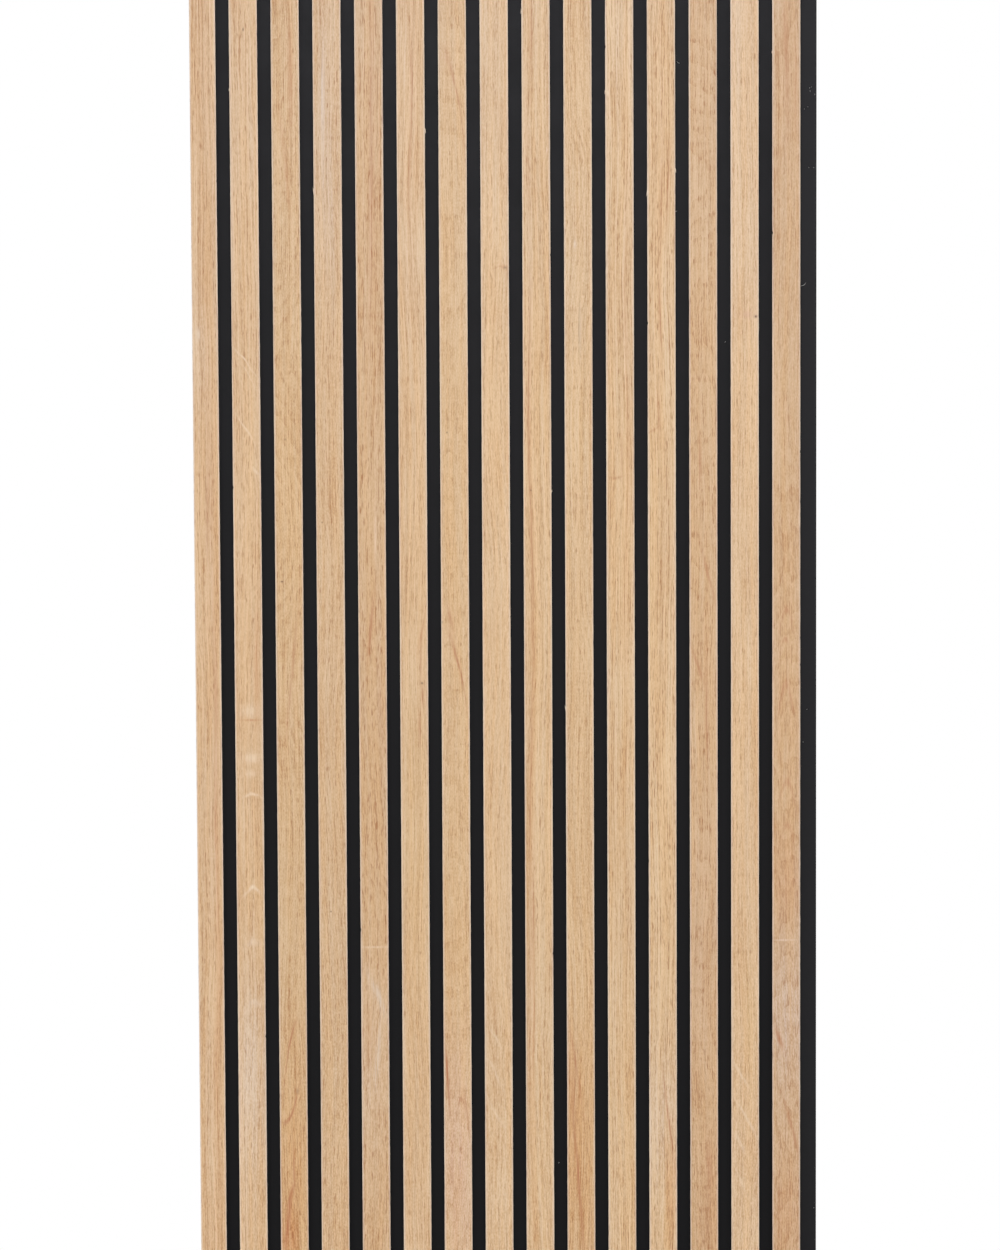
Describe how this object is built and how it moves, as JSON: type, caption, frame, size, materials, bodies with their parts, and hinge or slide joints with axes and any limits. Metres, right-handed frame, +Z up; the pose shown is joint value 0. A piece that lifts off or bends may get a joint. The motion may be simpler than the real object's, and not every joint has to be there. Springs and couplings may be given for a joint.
{
  "type": "acoustic slat wall panel",
  "caption": "Tall flat wall panel: upright oak-veneered fibreboard slats with open gaps between them, stapled from behind to a black felt board.",
  "frame": {"origin": "on the back face that lies against the wall, at mid width and mid height", "axes": "+Z up along the slats, +X to the right seen from the front, +Y into the wall, so the front faces -Y"},
  "size_m": [0.6014, 0.021, 2.4],
  "materials": {
    "oak_veneer": "satin, lacquered matt, straight open grain",
    "black_mdf": "sawn black-dyed fibreboard",
    "black_felt": "needle-punched polyester felt, matt",
    "staple_steel": "drawn galvanised wire"
  },
  "bodies": {
    "root": {"felt_backing": "black_felt", "slat_core_01": "black_mdf", "veneer_01": "oak_veneer", "slat_core_02": "black_mdf", "veneer_02": "oak_veneer", "slat_core_03": "black_mdf", "veneer_03": "oak_veneer", "slat_core_04": "black_mdf", "veneer_04": "oak_veneer", "slat_core_05": "black_mdf", "veneer_05": "oak_veneer", "slat_core_06": "black_mdf", "veneer_06": "oak_veneer", "slat_core_07": "black_mdf", "veneer_07": "oak_veneer", "slat_core_08": "black_mdf", "veneer_08": "oak_veneer", "slat_core_09": "black_mdf", "veneer_09": "oak_veneer", "slat_core_10": "black_mdf", "veneer_10": "oak_veneer", "slat_core_11": "black_mdf", "veneer_11": "oak_veneer", "slat_core_12": "black_mdf", "veneer_12": "oak_veneer", "slat_core_13": "black_mdf", "veneer_13": "oak_veneer", "slat_core_14": "black_mdf", "veneer_14": "oak_veneer", "slat_core_15": "black_mdf", "veneer_15": "oak_veneer", "staples": "staple_steel"}
  },
  "joints": []
}
